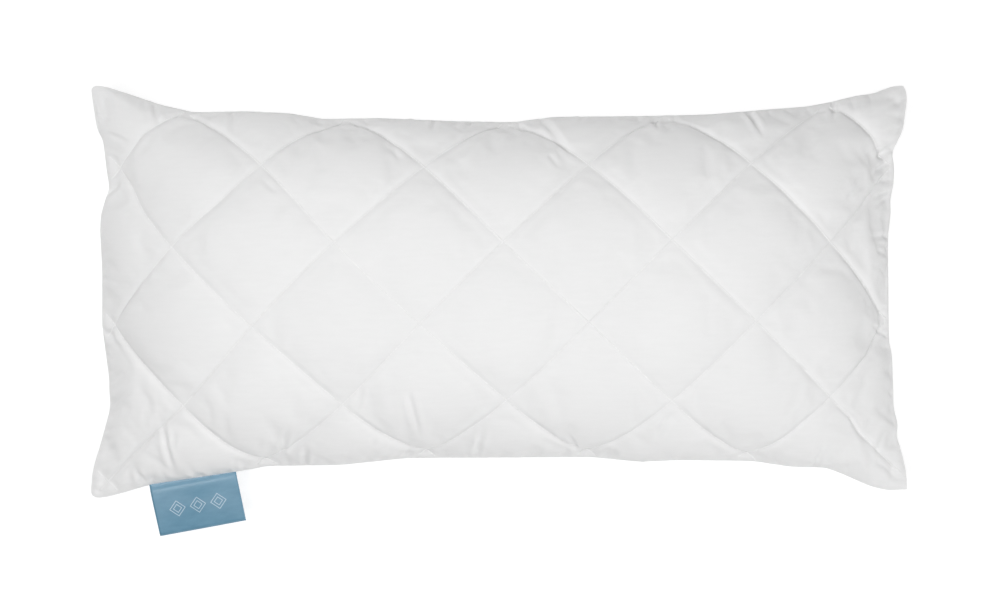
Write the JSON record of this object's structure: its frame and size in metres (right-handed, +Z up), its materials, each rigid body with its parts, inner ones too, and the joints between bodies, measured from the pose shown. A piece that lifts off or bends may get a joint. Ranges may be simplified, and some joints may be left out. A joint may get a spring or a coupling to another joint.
{
  "type": "bed pillow",
  "caption": "Rectangular bed pillow with a diamond-quilted white cover, pointed corners, a concealed zip in one short side and a folded satin label in a long seam.",
  "frame": {"origin": "middle of the flattened resting face on the underside, on the surface the pillow rests on", "axes": "+X along the length towards the side with the zip, +Y across the width away from the label, +Z up from the resting face towards the quilted front"},
  "size_m": [0.784, 0.4323, 0.148],
  "materials": {
    "white_microfibre": "plain fine weave, soft sheen",
    "polyester_wadding": "matte fibre",
    "thin_lining": "matte",
    "sewing_thread": "twisted thread",
    "inner_case_cloth": "matte",
    "polyester_fibre": "matte fibre",
    "woven_zip_tape": "woven",
    "zip_nylon": "satin",
    "zip_painted_metal": "semi-gloss",
    "blue_satin": "satin weave with a soft shine"
  },
  "bodies": {
    "pillow": {"front_outer_fabric": "white_microfibre", "back_outer_fabric": "white_microfibre", "zip_facing_front": "white_microfibre", "zip_facing_back": "white_microfibre", "front_wadding": "polyester_wadding", "back_wadding": "polyester_wadding", "front_lining": "thin_lining", "back_lining": "thin_lining", "front_quilting_thread": "sewing_thread", "back_quilting_thread": "sewing_thread", "edge_seam_thread": "sewing_thread", "inner_case_seam_thread": "sewing_thread", "zip_stitching_front": "sewing_thread", "zip_stitching_back": "sewing_thread", "label_stitching": "sewing_thread", "front_inner_case": "inner_case_cloth", "back_inner_case": "inner_case_cloth", "fibre_filling": "polyester_fibre", "zip_tape_front": "woven_zip_tape", "zip_tape_back": "woven_zip_tape", "zip_coil_front": "zip_nylon", "zip_coil_back": "zip_nylon", "zip_top_stops": "zip_painted_metal", "zip_bottom_stop": "zip_painted_metal", "label_tail": "blue_satin"},
    "label": {"satin_label": "blue_satin"},
    "zip_slider": {"zip_slider": "zip_painted_metal"},
    "zip_pull": {"zip_pull": "zip_painted_metal"}
  },
  "joints": [
    {"name": "label_fold", "type": "hinge", "parent": "pillow", "child": "label", "pos_m": [-0.29366, -0.18122, 0.064], "axis": [0.9915, 0.1301, 0], "range_deg": [-105, 80]},
    {"name": "zip_slide", "type": "slide", "parent": "pillow", "child": "zip_slider", "axis": [0, -1, 0], "range_m": [0, 0.244]},
    {"name": "pull_swing", "type": "hinge", "parent": "zip_slider", "child": "zip_pull", "pos_m": [0.3644, 0.114, 0.064], "axis": [0, 0, 1], "range_deg": [0, 170]}
  ]
}
